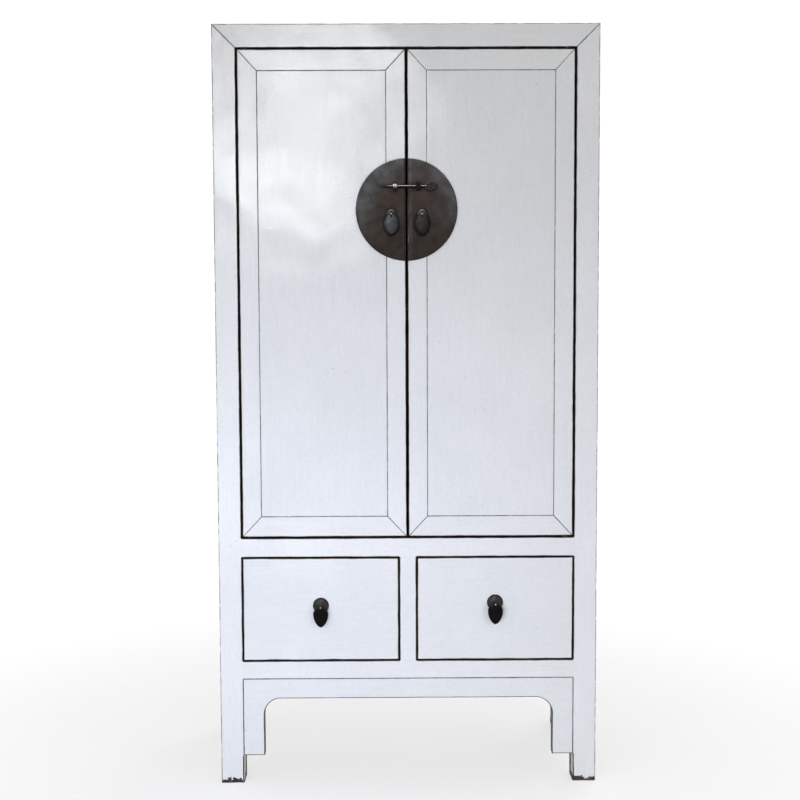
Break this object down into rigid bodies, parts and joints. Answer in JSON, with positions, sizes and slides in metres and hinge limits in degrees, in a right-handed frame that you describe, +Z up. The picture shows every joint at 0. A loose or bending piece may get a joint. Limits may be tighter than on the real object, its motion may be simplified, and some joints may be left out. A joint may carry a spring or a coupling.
{
  "type": "armoire",
  "caption": "White lacquered armoire: mitred panel doors with a round metal face plate and sliding bolt, over drawers and a shaped apron on straight post feet.",
  "frame": {"origin": "middle of the bounding box's bottom, on the floor; the box includes the metalwork in front of the doors", "axes": "+Z up, +X to the right of someone facing the doors, the doors face -Y"},
  "size_m": [0.952, 0.5042, 1.9],
  "materials": {
    "white_lacquer": "glossy white lacquer on wood, brushed, with dark worn edges",
    "raw_wood": "bare brown wood, oiled and worn",
    "dark_bronze": "dark bronzed metal, mottled, half gloss"
  },
  "bodies": {
    "carcass": {"post_front_left": "white_lacquer", "post_front_right": "white_lacquer", "post_back_left": "white_lacquer", "post_back_right": "white_lacquer", "top_rail_front": "white_lacquer", "top_rail_back": "white_lacquer", "top_rail_left": "white_lacquer", "top_rail_right": "white_lacquer", "top_panel": "white_lacquer", "waist_rail_front": "white_lacquer", "waist_rail_back": "raw_wood", "base_rail_front": "white_lacquer", "base_rail_back": "white_lacquer", "base_rail_left": "white_lacquer", "base_rail_right": "white_lacquer", "apron_front": "white_lacquer", "side_panel_left": "white_lacquer", "side_panel_right": "white_lacquer", "back_panel": "white_lacquer", "drawer_divider": "white_lacquer", "cupboard_floor": "raw_wood", "shelf": "raw_wood", "drawer_deck": "raw_wood"},
    "door_left": {"door_left_stile_hinge": "white_lacquer", "door_left_stile_meeting": "white_lacquer", "door_left_rail_top": "white_lacquer", "door_left_rail_bottom": "white_lacquer", "door_left_panel": "white_lacquer", "door_left_pull_rosette": "dark_bronze", "door_left_pull_staple": "dark_bronze", "face_plate_left": "dark_bronze", "bolt_eye_left": "dark_bronze"},
    "door_left_pull": {"door_left_pull_drop": "dark_bronze"},
    "drawer_left": {"drawer_left_front": "white_lacquer", "drawer_left_side_left": "raw_wood", "drawer_left_side_right": "raw_wood", "drawer_left_back": "raw_wood", "drawer_left_bottom": "raw_wood", "drawer_left_pull_rosette": "dark_bronze", "drawer_left_pull_staple": "dark_bronze"},
    "drawer_left_pull": {"drawer_left_pull_drop": "dark_bronze"},
    "door_right": {"door_right_stile_hinge": "white_lacquer", "door_right_stile_meeting": "white_lacquer", "door_right_rail_top": "white_lacquer", "door_right_rail_bottom": "white_lacquer", "door_right_panel": "white_lacquer", "door_right_pull_rosette": "dark_bronze", "door_right_pull_staple": "dark_bronze", "face_plate_right": "dark_bronze", "bolt_eye_right": "dark_bronze"},
    "door_right_pull": {"door_right_pull_drop": "dark_bronze"},
    "drawer_right": {"drawer_right_front": "white_lacquer", "drawer_right_side_left": "raw_wood", "drawer_right_side_right": "raw_wood", "drawer_right_back": "raw_wood", "drawer_right_bottom": "raw_wood", "drawer_right_pull_rosette": "dark_bronze", "drawer_right_pull_staple": "dark_bronze"},
    "drawer_right_pull": {"drawer_right_pull_drop": "dark_bronze"},
    "bolt": {"bolt_pin": "dark_bronze"}
  },
  "joints": [
    {"name": "door_left_hinge", "type": "hinge", "parent": "carcass", "child": "door_left", "pos_m": [-0.3965, -0.21745, 1.236], "axis": [0, 0, -1], "range_deg": [0, 100]},
    {"name": "door_left_pull_swing", "type": "hinge", "parent": "door_left", "child": "door_left_pull", "pos_m": [-0.038, -0.24355, 1.438], "axis": [-1, 0, 0], "range_deg": [0, 90]},
    {"name": "drawer_left_slide", "type": "slide", "parent": "carcass", "child": "drawer_left", "axis": [0, -1, 0], "range_m": [0, 0.33]},
    {"name": "drawer_left_pull_swing", "type": "hinge", "parent": "drawer_left", "child": "drawer_left_pull", "pos_m": [-0.21975, -0.24325, 0.4577], "axis": [-1, 0, 0], "range_deg": [0, 90]},
    {"name": "door_right_hinge", "type": "hinge", "parent": "carcass", "child": "door_right", "pos_m": [0.3965, -0.21745, 1.236], "axis": [0, 0, 1], "range_deg": [0, 100]},
    {"name": "door_right_pull_swing", "type": "hinge", "parent": "door_right", "child": "door_right_pull", "pos_m": [0.038, -0.24355, 1.438], "axis": [-1, 0, 0], "range_deg": [0, 90]},
    {"name": "drawer_right_slide", "type": "slide", "parent": "carcass", "child": "drawer_right", "axis": [0, -1, 0], "range_m": [0, 0.33]},
    {"name": "drawer_right_pull_swing", "type": "hinge", "parent": "drawer_right", "child": "drawer_right_pull", "pos_m": [0.21975, -0.24325, 0.4637], "axis": [-1, 0, 0], "range_deg": [0, 90]},
    {"name": "bolt_slide", "type": "slide", "parent": "door_right", "child": "bolt", "axis": [1, 0, 0], "range_m": [0, 0.075]}
  ]
}
